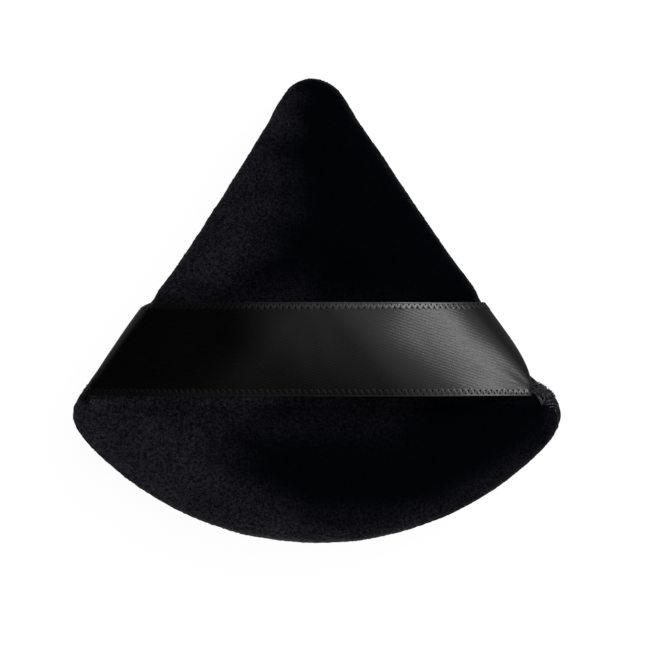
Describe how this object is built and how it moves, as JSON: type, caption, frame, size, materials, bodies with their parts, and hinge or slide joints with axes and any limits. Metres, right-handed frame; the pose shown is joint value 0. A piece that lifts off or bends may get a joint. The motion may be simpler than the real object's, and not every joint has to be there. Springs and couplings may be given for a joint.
{
  "type": "powder puff",
  "caption": "Rounded-triangle velvet powder puff, plump and sewn round its edge, with a satin ribbon arched across its face for a finger.",
  "frame": {"origin": "under the middle of the outline, on the surface that the puff lies on", "axes": "+X along the ribbon, to the right as seen with the ribbon towards the eye and the tip up; +Y towards the tip; +Z out of the face, through the ribbon"},
  "size_m": [0.0788, 0.0753, 0.0195],
  "materials": {
    "velvet": "short dense matt pile, near black",
    "satin": "smooth black satin weave with a soft gloss",
    "foam": "open-cell sponge, off-white",
    "thread": "fine black sewing thread"
  },
  "bodies": {
    "puff": {"front_cover": "velvet", "back_cover": "velvet", "foam_core": "foam", "seam_thread": "thread", "closing_thread": "thread", "ribbon_left_end": "satin", "ribbon_right_end": "satin"},
    "strap": {"ribbon_middle": "satin"}
  },
  "joints": [
    {"name": "strap_lift", "type": "slide", "parent": "puff", "child": "strap", "axis": [0, 0, 1], "range_m": [-0.0055, 0.0035], "stiffness_N_per_m": 3, "deforming": ["ribbon_left_end", "ribbon_right_end"]}
  ]
}
